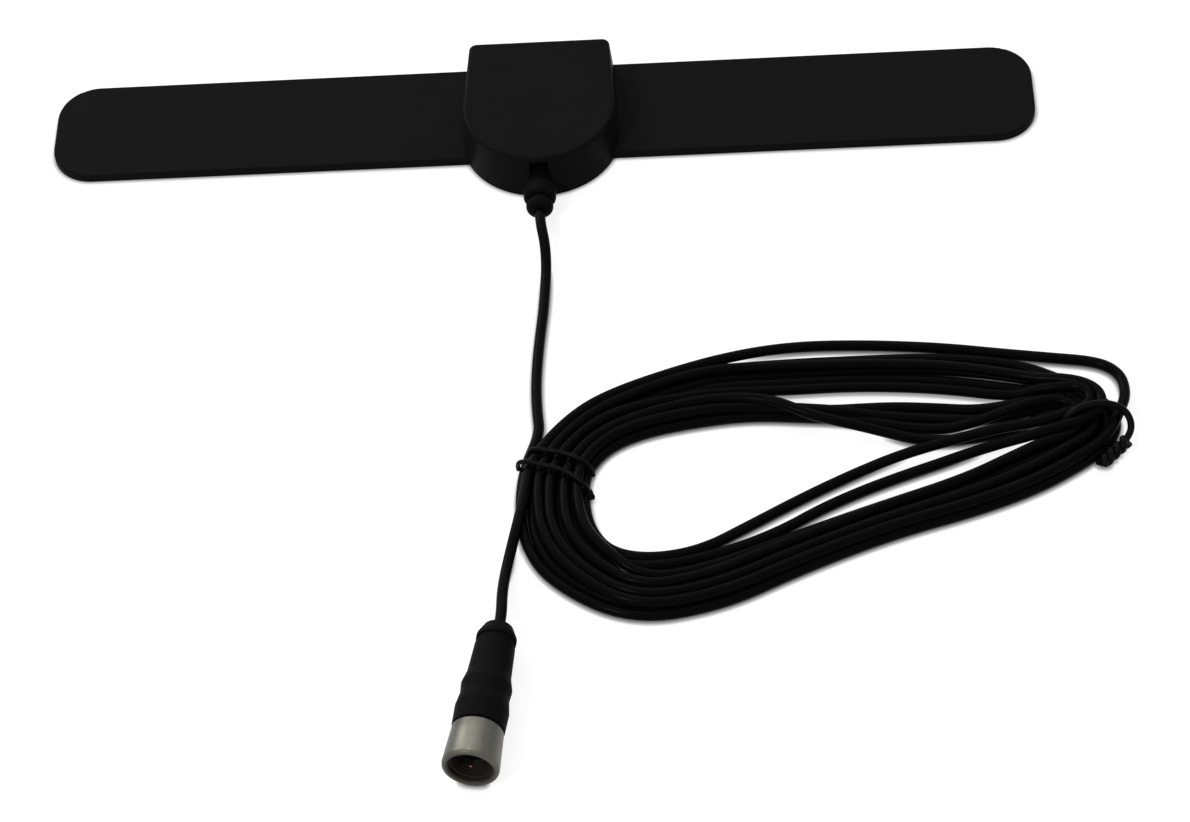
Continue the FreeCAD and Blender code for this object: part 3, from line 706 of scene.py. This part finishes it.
@dataclass
class Studio:
    """White floor, lamps, world and the camera: the eye in millimetres, all other lengths in metres."""

    image_width: float = 1190.0
    focal_pixels: float = 3457.09
    sensor: float = 36.0
    pitch: float = 50.0
    yaw: float = -4.0253
    roll: float = -5.4799
    eye: Point = (48.2128, -599.4293, 602.9265)
    floor_reach: float = 6.0
    floor_drop: float = 0.00005
    key_size: float = 1.4
    key_watts: float = 7.4
    side_size: float = 1.3
    side_watts: float = 24.0
    fill_size: float = 0.14
    fill_watts: float = 5.5
    nut_cone: float = 0.034
    nut_watts: float = 24.0
    spot_radius: float = 0.03
    ambient: float = 0.34
    # Reach, depth and samples of the floor's painted contact shade
    painted_shade_reach: float = 0.0012
    painted_shade_depth: float = 2.2
    painted_shade_samples: int = 8
    paper: float = 0.8
    paper_seen: float = 0.26
    paper_glow: float = 0.84
    near_clip: float = 0.01
    far_clip: float = 50.0
    coil_middle: Point = (0.03, -0.09, 0.0)
    nut_middle: Point = (-0.0125, -0.191, 0.012)
    key_place: Point = (0.0, 0.63, 0.96)
    side_place: Point = (-1.41, 1.45, 1.14)
    fill_place: Point = (-0.55, -0.76, 0.91)
    nut_place: Point = (-0.1, 0.38, 0.83)

    def build(self) -> None:
        """Makes the camera, the floor, the world and the lamps."""
        bpy.context.scene.view_settings.view_transform = "Standard"
        self._camera()
        self._floor()
        self._world()
        self._softbox("key_softbox", self.key_place, self.key_size, self.key_watts)
        self._softbox("side_softbox", self.side_place, self.side_size, self.side_watts)
        self._softbox("fill_softbox", self.fill_place, self.fill_size, self.fill_watts)
        self._nut_spot()

    def _camera(self) -> None:
        """Places the camera from its fitted angles and focal length."""
        pitch = math.radians(self.pitch)
        yaw = math.radians(self.yaw)
        roll = math.radians(self.roll)
        flat = math.cos(pitch)
        forward = Vector((math.sin(yaw) * flat, math.cos(yaw) * flat, -math.sin(pitch)))
        level = Vector((math.cos(yaw), -math.sin(yaw), 0.0))
        upright = level.cross(forward)
        right = level * math.cos(roll) + upright * math.sin(roll)
        up = upright * math.cos(roll) - level * math.sin(roll)
        data = bpy.data.cameras.new("photo_camera")
        data.sensor_fit = "HORIZONTAL"
        data.sensor_width = self.sensor
        data.lens = self.focal_pixels * self.sensor / self.image_width
        data.clip_start = self.near_clip
        data.clip_end = self.far_clip
        camera = add_object("photo_camera", data)
        turn = Matrix((right, up, -forward)).transposed().to_4x4()
        camera.matrix_world = Matrix.Translation(Vector(self.eye) * MILLIMETRE) @ turn
        bpy.context.scene.camera = camera

    def _floor(self) -> None:
        """Lays a wide floor of white paper."""
        reach = self.floor_reach
        corners = [(-reach, -reach, 0.0), (reach, -reach, 0.0), (reach, reach, 0.0), (-reach, reach, 0.0)]
        mesh = bpy.data.meshes.new("floor")
        mesh.from_pydata(corners, [], [(0, 1, 2, 3)])
        floor = add_object("floor", mesh)
        floor.location.z = -self.floor_drop
        mesh.materials.append(self._paper())

    def _paper(self) -> bpy.types.Material:
        """Makes the floor's paper, which shows white but keeps the object's soft shadow, and adds painted
        contact shade to its glow.

        Returns:
            The material.
        """
        material = bpy.data.materials.new("floor_paper")
        material.use_nodes = True
        bench = NodeBench(material.node_tree)
        paper = bench.add("ShaderNodeBsdfDiffuse", Color=grey(self.paper))
        soft = bench.add("ShaderNodeBsdfDiffuse", Color=grey(self.paper_seen))
        # Painted contact shade: the glow the eye sees darkens by ambient occlusion near the object
        painted_contact_shade = bench.add(
            "ShaderNodeAmbientOcclusion", samples=self.painted_shade_samples, Distance=self.painted_shade_reach
        )
        deepened_contact_shade = bench.add("ShaderNodeGamma", Gamma=self.painted_shade_depth)
        glow = bench.add("ShaderNodeEmission", Strength=self.paper_glow)
        seen = bench.add("ShaderNodeAddShader")
        bench.wire(
            (painted_contact_shade, "Color", deepened_contact_shade, "Color"),
            (deepened_contact_shade, "Color", glow, "Color"),
            (soft, "BSDF", seen, 0),
            (glow, "Emission", seen, 1),
        )
        mixed = bench.add("ShaderNodeMixShader")
        output = bench.add("ShaderNodeOutputMaterial")
        bench.join(self._seen_directly(bench), mixed.inputs["Fac"])
        bench.wire(
            (paper, "BSDF", mixed, 1),
            (seen, "Shader", mixed, 2),
            (mixed, "Shader", output, "Surface"),
        )
        return material

    def _seen_directly(self, bench: NodeBench) -> bpy.types.NodeSocket:
        """Joins the camera, glossy and transmission rays into one switch.

        Args:
            bench: the bench of the floor's or the world's nodes.

        Returns:
            The socket that is 1 for those rays.
        """
        path = bench.add("ShaderNodeLightPath")
        glossy = bench.add("ShaderNodeMath", operation="MAXIMUM")
        clear = bench.add("ShaderNodeMath", operation="MAXIMUM")
        bench.wire(
            (path, "Is Camera Ray", glossy, 0),
            (path, "Is Glossy Ray", glossy, 1),
            (glossy, "Value", clear, 0),
            (path, "Is Transmission Ray", clear, 1),
        )
        return clear.outputs["Value"]

    def _world(self) -> None:
        """White to the eye and in reflections, a plain grey light otherwise."""
        world = bpy.data.worlds.new("studio_world")
        world.use_nodes = True
        bench = NodeBench(world.node_tree)
        shown = bench.add("ShaderNodeBackground", Color=grey(1.0), Strength=1.0)
        light = bench.add("ShaderNodeBackground", Color=grey(1.0), Strength=self.ambient)
        mixed = bench.add("ShaderNodeMixShader")
        output = bench.add("ShaderNodeOutputWorld")
        bench.join(self._seen_directly(bench), mixed.inputs["Fac"])
        bench.wire(
            (light, "Background", mixed, 1),
            (shown, "Background", mixed, 2),
            (mixed, "Shader", output, "Surface"),
        )
        bpy.context.scene.world = world

    def _softbox(self, name: str, place: Point, size: float, watts: float) -> None:
        """Hangs a square soft lamp that faces the coil.

        Args:
            name: the lamp's name.
            place: where it hangs, in metres.
            size: its side, in metres.
            watts: its power.
        """
        data = bpy.data.lights.new(name, "AREA")
        data.size = size
        data.energy = watts
        self._hang(name, data, place, self.coil_middle)

    def _nut_spot(self) -> None:
        """Hangs a narrow lamp with a soft edge for the nut alone."""
        data = bpy.data.lights.new("nut_spot", "SPOT")
        data.energy = self.nut_watts
        data.spot_size = self.nut_cone
        data.spot_blend = 1.0
        data.shadow_soft_size = self.spot_radius
        self._hang("nut_spot", data, self.nut_place, self.nut_middle)

    def _hang(self, name: str, data: bpy.types.Light, place: Point, target: Point) -> None:
        """Hangs a lamp and turns it to a point.

        Args:
            name: the lamp's name.
            data: the lamp.
            place: where it hangs, in metres.
            target: the point it faces, in metres.
        """
        lamp = add_object(name, data)
        lamp.location = place
        lamp.rotation_euler = (Vector(target) - Vector(place)).to_track_quat("-Z", "Y").to_euler()


@dataclass(frozen=True)
class Lane:
    """A strand's place in the bundle.

    It says how many strands in from the outer side, how many layers up, and how far it wanders
    across from one line of the side to the next.
    """

    across: float
    layer: float = 0.0
    wander: float = 0.0


@dataclass(frozen=True)
class Side:
    """One side of the coil: lines across the bundle, from its outer to its inner strand, in millimetres."""

    lanes: int
    lines: tuple[tuple[Place, Place], ...]

    def points(self, lane: Lane, floor: float, rise: float) -> list[Point]:
        """The places of one strand on every line of this side.

        Args:
            lane: the strand's lane.
            floor: height of a strand on the floor.
            rise: height from one layer to the next.

        Returns:
            The points, in millimetres.
        """
        found = []
        for index, (outer, inner) in enumerate(self.lines):
            share = (lane.across + lane.wander * index) / (self.lanes - 1)
            x = outer[0] + (inner[0] - outer[0]) * share
            y = outer[1] + (inner[1] - outer[1]) * share
            found.append((x, y, floor + rise * lane.layer))
        return found


@dataclass(frozen=True)
class Hairpin:
    """A strand's tight turn at the right-hand fold, on a circle: millimetres, and degrees from +X."""

    middle: Place
    radius: float
    first: float
    last: float
    height: float
    approach: tuple[Point, ...] = ()
    steps: int = 4

    def points(self) -> list[Point]:
        """The points of the way in and of the turn.

        Returns:
            The points, in millimetres.
        """
        found = list(self.approach)
        for step in range(self.steps + 1):
            angle = math.radians(self.first + (self.last - self.first) * step / self.steps)
            x = self.middle[0] + self.radius * math.cos(angle)
            y = self.middle[1] + self.radius * math.sin(angle)
            found.append((x, y, self.height))
        return found


@dataclass(frozen=True)
class Turn:
    """One turn of the coil: its lanes, with a hairpin or a free strand in place of some sides.

    The last three fields say which lines of the left side and of the fold it follows.
    """

    left: Lane
    low: Lane | None = None
    fold: Lane | None = None
    hairpin: Hairpin | None = None
    back: Lane | None = None
    strand: tuple[Point, ...] = ()
    top: Lane | None = None
    left_from: int = 0
    left_to: int = 6
    fold_to: int = 3


LEFT_SIDE = Side(
    lanes=6,
    lines=(
        ((14.5, -91.9), (24.2, -102.7)),
        ((5.2, -99.4), (15.8, -106.7)),
        ((-3.2, -111.4), (10.7, -113.4)),
        ((-4.3, -121.5), (10.2, -121.5)),
        ((-3.6, -132.6), (11.5, -129.8)),
        ((2.3, -144.3), (15.9, -136.5)),
    ),
)
LOW_SIDE = Side(
    lanes=5,
    lines=(
        ((20.0, -155.3), (23.6, -144.2)),
        ((40.0, -152.2), (36.8, -142.0)),
        ((58.0, -142.9), (54.4, -135.0)),
        ((78.0, -134.5), (74.5, -127.2)),
        ((97.7, -128.7), (93.6, -120.4)),
        ((111.0, -123.2), (106.0, -114.1)),
    ),
)
FOLD_SIDE = Side(
    lanes=5,
    lines=(
        ((120.4, -117.5), (114.6, -110.0)),
        ((127.6, -112.0), (120.4, -106.8)),
        ((130.2, -105.2), (121.0, -104.6)),
    ),
)
BACK_SIDE = Side(
    lanes=4,
    lines=(
        ((127.4, -98.8), (120.6, -102.8)),
        ((119.6, -93.0), (115.4, -98.6)),
    ),
)
TOP_SIDE = Side(
    lanes=4,
    lines=(
        ((109.6, -87.4), (107.2, -97.6)),
        ((92.6, -84.4), (91.6, -94.2)),
        ((73.0, -84.2), (73.0, -92.4)),
        ((54.0, -84.4), (54.8, -92.8)),
        ((35.4, -85.4), (38.6, -92.4)),
    ),
)
INNER_STRAND: tuple[Point, ...] = (
    (24.6, -138.8, 1.3), (36.0, -137.0, 1.3), (46.9, -130.6, 1.3), (58.1, -123.9, 1.3),
    (69.5, -117.8, 1.4), (80.9, -113.1, 2.2), (92.1, -110.4, 3.3), (103.5, -107.9, 3.9),
    (112.6, -107.1, 4.6), (117.4, -105.8, 5.4), (121.4, -105.0, 5.8), (123.9, -102.9, 5.8),
    (123.9, -99.9, 5.8), (121.4, -97.8, 5.6), (117.2, -97.4, 4.9), (112.6, -96.8, 3.7),
)
SECOND_STRAND: tuple[Point, ...] = (
    (24.2, -141.4, 1.3), (40.6, -138.1, 1.3), (53.4, -132.7, 1.3), (62.5, -126.9, 1.3),
    (71.5, -122.4, 1.3), (80.6, -118.6, 1.3), (89.7, -115.3, 1.4), (96.6, -113.1, 2.0),
    (103.3, -111.6, 3.0), (110.1, -110.4, 3.9), (116.8, -108.9, 4.9), (122.0, -107.8, 5.7),
    (126.0, -105.0, 5.9), (126.6, -100.8, 5.9), (123.6, -97.4, 5.9), (118.4, -95.3, 5.3),
    (113.0, -94.0, 4.1),
)
SAGGING_STRAND: tuple[Point, ...] = (
    (110.0, -105.2, 1.3), (102.0, -107.8, 1.3), (93.5, -108.9, 1.3), (85.0, -108.3, 1.4),
    (78.0, -106.3, 2.2), (72.0, -105.0, 3.4), (66.0, -103.9, 4.5), (60.5, -102.3, 5.2),
    (54.5, -98.9, 5.4), (48.0, -96.4, 4.6), (36.5, -95.6, 3.6),
)
LOWER_STRAND: tuple[Point, ...] = (
    (110.0, -100.8, 3.6), (104.0, -103.2, 3.6), (98.0, -105.0, 2.7), (91.0, -105.7, 1.4),
    (82.0, -104.4, 1.3), (75.0, -102.4, 1.3), (67.0, -101.0, 1.3), (59.6, -100.3, 1.3),
    (48.0, -99.2, 1.3), (36.5, -100.3, 1.3),
)
MIDDLE_STRAND: tuple[Point, ...] = (
    (109.0, -101.9, 1.3), (100.0, -103.4, 1.3), (91.0, -102.6, 1.3), (82.0, -101.5, 1.3),
    (76.0, -100.9, 1.7), (68.0, -100.0, 2.8), (60.0, -99.4, 3.35), (48.0, -98.0, 3.35),
    (36.5, -98.4, 3.3),
)
UPPER_STRAND: tuple[Point, ...] = (
    (124.4, -104.6, 3.3), (121.6, -100.6, 2.9), (116.4, -98.2, 2.4), (110.2, -99.0, 2.2),
    (103.6, -100.3, 1.9), (97.4, -100.4, 1.5), (90.8, -99.4, 1.3), (82.0, -98.5, 1.3),
    (75.0, -98.4, 1.3), (66.0, -98.6, 1.3), (59.6, -97.9, 1.3), (48.0, -96.6, 1.3),
    (36.5, -97.6, 1.3),
)
LOOSE_STRAND: tuple[Point, ...] = (
    (130.6, -103.6, 3.0), (132.6, -97.8, 1.9), (132.0, -91.4, 1.4), (127.4, -87.5, 1.3),
    (116.6, -85.7, 1.3), (105.4, -83.9, 1.4), (94.2, -81.9, 1.5), (82.9, -80.4, 1.4),
    (71.5, -79.5, 1.4), (60.0, -79.3, 1.5), (48.5, -81.1, 2.2), (34.5, -85.7, 3.5),
)
FLOOR_HAIRPIN = Hairpin((116.2, -105.8), radius=6.4, first=-66.0, last=92.0, height=1.3)
INMOST_HAIRPIN = Hairpin(
    (115.7, -106.2), radius=4.3, first=-72.0, last=104.0, height=1.3, approach=((111.6, -111.8, 1.3),)
)
UPPER_HAIRPIN = Hairpin(
    (116.0, -105.3), radius=5.7, first=-66.0, last=92.0, height=3.6, approach=((113.3, -112.0, 3.7),)
)
COIL_TURNS: tuple[Turn, ...] = (
    Turn(Lane(0, 0, 0.03), low=Lane(0), fold=Lane(0), back=Lane(0), top=Lane(0), left_from=2),
    Turn(Lane(1.0, 0, -0.01), low=Lane(0.95, 0, 0.01), fold=Lane(1), back=Lane(1), top=Lane(1.05, 0, 0.02)),
    Turn(Lane(2.0, 0, -0.015), low=Lane(1.85, 0, 0.03), fold=Lane(2), back=Lane(2), top=Lane(2.1, 0, -0.03)),
    Turn(Lane(3.1, 0, -0.04), low=Lane(2.8, 0, 0.04), hairpin=FLOOR_HAIRPIN, strand=MIDDLE_STRAND),
    Turn(Lane(4.4, 1, 0.03), low=Lane(4), hairpin=INMOST_HAIRPIN, strand=SAGGING_STRAND),
    Turn(Lane(3.6, 1, -0.05), low=Lane(2.6, 1, 0.18), hairpin=UPPER_HAIRPIN, strand=LOWER_STRAND),
    Turn(Lane(5), strand=INNER_STRAND, top=Lane(2.95, 0.3)),
    Turn(Lane(2.4, 1, -0.03), low=Lane(1.6, 1, 0.02), fold=Lane(1.9, 1), strand=UPPER_STRAND, fold_to=2),
    Turn(Lane(4), strand=SECOND_STRAND, top=Lane(1.4, 1, -0.2)),
    Turn(Lane(1.3, 1, 0.05), low=Lane(0.7, 1, -0.06), fold=Lane(0.4, 1), strand=LOOSE_STRAND, fold_to=2),
    Turn(Lane(0.5, 1), left_to=4),
)


@dataclass
class AntennaCable:
    """The thin cable from the dome's gland through ten tied turns to the plug."""

    diameter: float = 2.5
    length: float = 3.03
    floor: float = 1.3
    rise: float = 2.15
    exit_point: Point = (0.0, -36.1, 4.5)
    lead: tuple[Point, ...] = (
        (0.0, -36.1, 4.5), (0.2, -39.9, 4.5), (1.2, -45.2, 3.5), (1.5, -51.2, 1.9),
        (1.2, -58.2, 1.3), (0.8, -65.4, 1.3), (0.1, -72.8, 1.3), (-0.45, -80.4, 1.3),
        (-0.7, -88.0, 1.3), (-0.4, -95.4, 1.3), (0.3, -102.0, 1.3),
    )
    tail: tuple[Point, ...] = (
        (-4.7, -130.6, 3.1), (-6.1, -136.4, 1.7), (-7.1, -142.4, 1.9), (-7.5, -148.6, 3.5),
        (-7.35, -155.24, 5.27), (-7.9, -159.0, 5.36),
    )
    bevel_steps: int = 6
    run_steps: int = 8

    def turn_points(self, turn: Turn) -> list[Point]:
        """The points of one turn, from the left side round to the top.

        Args:
            turn: the turn's lanes and strand.

        Returns:
            The points, in millimetres.
        """
        found = LEFT_SIDE.points(turn.left, self.floor, self.rise)[turn.left_from : turn.left_to]
        if turn.low is not None:
            found += LOW_SIDE.points(turn.low, self.floor, self.rise)
        if turn.fold is not None:
            found += FOLD_SIDE.points(turn.fold, self.floor, self.rise)[: turn.fold_to]
        if turn.hairpin is not None:
            found += turn.hairpin.points()
        if turn.back is not None:
            found += BACK_SIDE.points(turn.back, self.floor, self.rise)
        found += list(turn.strand)
        if turn.top is not None:
            found += TOP_SIDE.points(turn.top, self.floor, self.rise)
        return found

    def route(self) -> list[Point]:
        """The whole route: lead, every turn of the coil, and tail.

        Returns:
            The points, in millimetres.
        """
        points = list(self.lead)
        for turn in COIL_TURNS:
            points += self.turn_points(turn)
        return points + list(self.tail)

    def build(self) -> bpy.types.Object:
        """Makes the cable as one smooth spline with a round section.

        Returns:
            The cable.
        """
        curve = start_curve("antenna_cable", self.bevel_steps)
        add_run(curve, self.route(), self.diameter, self.run_steps)
        cable = add_object("antenna_cable", curve)
        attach(cable, Body.ANTENNA.value)
        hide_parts("cable_lead", "cable_coil", "cable_tail")
        return cable

    def dress(self, cable: bpy.types.Object, finishes: Finishes) -> None:
        """Gives the cable its jacket."""
        finishes.dress(cable, Slot.CABLE)


@dataclass
class WireTie:
    """A covered wire laid over the bundle, with its two ends twisted together."""

    name: str
    node: str
    wraps: tuple[tuple[Point, ...], ...]
    twist_start: Point
    twist_end: Point
    twist_turns: float
    twist_radius: float
    wire: float
    end_wire: float
    twist_steps: int = 10
    bevel_steps: int = 5
    run_steps: int = 6

    def build(self) -> bpy.types.Object:
        """Makes the tie.

        Returns:
            The tie.
        """
        curve = start_curve(self.name, self.bevel_steps)
        for wrap in self.wraps:
            add_run(curve, list(wrap), self.wire, self.run_steps)
        for phase in (0.0, math.pi):
            add_run(curve, self._twist(phase), self.end_wire, self.run_steps)
        tie = add_object(self.name, curve)
        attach(tie, Body.ANTENNA.value)
        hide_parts(self.node)
        return tie

    def dress(self, tie: bpy.types.Object, finishes: Finishes) -> None:
        """Gives the tie its plastic cover."""
        finishes.dress(tie, Slot.TIE)

    def _twist(self, phase: float) -> list[Point]:
        """One of the two twisted ends.

        Args:
            phase: where on the twist it starts, in radians.

        Returns:
            The points, in millimetres.
        """
        start = Vector(self.twist_start)
        along = Vector(self.twist_end) - start
        aside = along.cross(UPWARD).normalized()
        rise = aside.cross(along).normalized()
        steps = int(self.twist_steps * self.twist_turns)
        found = []
        for step in range(steps + 1):
            share = step / steps
            angle = phase + math.tau * self.twist_turns * share
            offset = aside * math.cos(angle) + rise * math.sin(angle)
            found.append(tuple(start + along * share + offset * self.twist_radius))
        return found


@dataclass
class NutThread:
    """The screw thread inside the plug's nut, from its first to its last place along the plug."""

    first: float = 31.0
    last: float = 36.5
    bore: float = 9.5
    pitch: float = 0.8
    depth: float = 0.36
    seat: float = 0.04
    steps: int = 72
    fade_steps: int = 20
    run_out: float = 0.08
    root_start: float = 0.02
    crest_start: float = 0.34
    crest_end: float = 0.46
    root_end: float = 0.78

    def build(self) -> bpy.types.Object:
        """Makes the thread.

        Returns:
            The thread.
        """
        corners, faces = self._ridge()
        mesh = bpy.data.meshes.new("nut_thread")
        mesh.from_pydata(corners, [], faces)
        mesh.update()
        thread = add_object("nut_thread", mesh)
        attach(thread, Body.NUT.value)
        return thread

    def dress(self, thread: bpy.types.Object, finishes: Finishes) -> None:
        """Gives the thread the nut's plating."""
        finishes.dress(thread, Slot.NICKEL)

    def _ridge(self) -> tuple[list[Vector], list[tuple[int, ...]]]:
        """A closed right-hand ridge wound round the bore, which fades out at both ends.

        Returns:
            Its corners, in metres, and its faces.
        """
        axis = Vector(PLUG_HEADING).normalized()
        aside = axis.cross(UPWARD).normalized()
        rise = axis.cross(aside).normalized()
        turns = (self.last - self.first) / self.pitch - 1.0
        count = int(turns * self.steps)
        outer = self.bore / 2 + self.seat
        crest = outer - self.depth
        profile = (
            (outer, self.root_start),
            (crest, self.crest_start),
            (crest, self.crest_end),
            (outer, self.root_end),
        )
        width = len(profile)
        corners = []
        faces = []
        for step in range(count + 1):
            angle = math.tau * step / self.steps
            spoke = aside * math.cos(angle) + rise * math.sin(angle)
            fade = max(self.run_out, min(1.0, step / self.fade_steps, (count - step) / self.fade_steps))
            for radius, along in profile:
                reach = outer - (outer - radius) * fade
                place = self.first + self.pitch * (step / self.steps + along)
                corners.append((Vector(PLUG_REAR) + axis * place + spoke * reach) * MILLIMETRE)
        for base in range(0, count * width, width):
            for side in range(width):
                beside = (side + 1) % width
                faces.append((base + side, base + beside, base + width + beside, base + width + side))
        faces.append(tuple(reversed(range(width))))
        faces.append(tuple(range(count * width, count * width + width)))
        return corners, faces


NODE_FINISHES: dict[Slot, tuple[str, ...]] = {
    Slot.SHELL: ("front_shell", "back_plate"),
    Slot.SCREW: ("back_screws", "board_screws"),
    Slot.ELEMENT: ("left_element", "right_element"),
    Slot.BOARD: ("circuit_board",),
    Slot.PIN: ("feed_pins", "signal_terminal"),
    Slot.FERRITE: ("balun_core",),
    Slot.COPPER: ("balun_winding", "coax_conductor", "plug_pin"),
    Slot.CHIP: ("chip_parts",),
    Slot.SADDLE: ("cable_saddle",),
    Slot.RELIEF: ("strain_relief",),
    Slot.CABLE: ("cable_inner_end", "plug_cable_end"),
    Slot.DIELECTRIC: ("coax_dielectric", "plug_insulator"),
    Slot.BOOT: ("plug_boot",),
    Slot.NICKEL: ("plug_ferrule", "plug_post", "plug_nut"),
}
PLUG_NODES: tuple[str, ...] = (
    "plug_boot", "plug_cable_end", "plug_ferrule", "plug_post", "plug_insulator", "plug_pin", "plug_nut",
)
TIES: tuple[WireTie, ...] = (
    WireTie(
        name="left_wire_tie",
        node="left_tie",
        wraps=(
            (
                (-4.5, -111.9, 1.2), (-4.6, -112.1, 3.2), (-3.7, -112.8, 5.1), (-1.2, -113.6, 5.8),
                (1.6, -114.5, 5.4), (4.4, -115.4, 5.7), (7.4, -117.3, 5.6), (10.2, -119.4, 5.0),
                (11.3, -120.1, 3.2), (11.5, -120.3, 1.2),
            ),
            (
                (-2.2, -108.7, 1.2), (-2.3, -108.8, 3.2), (-0.9, -109.2, 5.1), (2.0, -110.2, 5.5),
                (5.2, -111.0, 5.7), (8.5, -112.4, 5.5), (11.2, -113.7, 4.6), (12.2, -114.2, 2.6),
                (12.3, -114.4, 1.0),
            ),
        ),
        twist_start=(11.2, -119.6, 2.2),
        twist_end=(12.0, -121.3, 1.4),
        twist_turns=1.2,
        twist_radius=0.45,
        wire=1.1,
        end_wire=1.0,
    ),
    WireTie(
        name="right_wire_tie",
        node="right_tie",
        wraps=(
            (
                (116.4, -107.4, 2.8), (117.6, -107.0, 5.2), (120.6, -106.0, 7.4), (124.6, -105.0, 7.9),
                (128.6, -104.6, 6.8), (131.4, -105.2, 5.2), (132.7, -107.4, 3.8), (132.3, -110.2, 2.8),
                (130.6, -112.2, 2.4),
            ),
        ),
        twist_start=(131.2, -112.0, 2.6),
        twist_end=(125.2, -117.5, 1.7),
        twist_turns=2.0,
        twist_radius=0.85,
        wire=1.6,
        end_wire=1.7,
    ),
)


def main() -> None:
    """Loads the frame, then builds and dresses every piece in order."""
    logging.basicConfig(level=logging.INFO, format="%(name)s: %(message)s")
    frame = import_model()
    Studio().build()
    finishes = Finishes()
    cable_maker = AntennaCable()
    cable = cable_maker.build()
    cable_maker.dress(cable, finishes)
    LOG.info("%s: %d points", cable.name, len(cable.data.splines[0].points))
    carried = [frame["nodes"][name] for name in PLUG_NODES]
    for tie_maker in TIES:
        tie = tie_maker.build()
        tie_maker.dress(tie, finishes)
        carried.append(tie)
        LOG.info("%s laid", tie.name)
    thread_maker = NutThread()
    thread = thread_maker.build()
    thread_maker.dress(thread, finishes)
    carried.append(thread)
    LOG.info("%s cut", thread.name)
    for slot, names in NODE_FINISHES.items():
        for name in names:
            finishes.dress(frame["nodes"][name], slot)
            LOG.info("%s dressed as %s", name, slot.value)


if __name__ == "__main__":
    main()
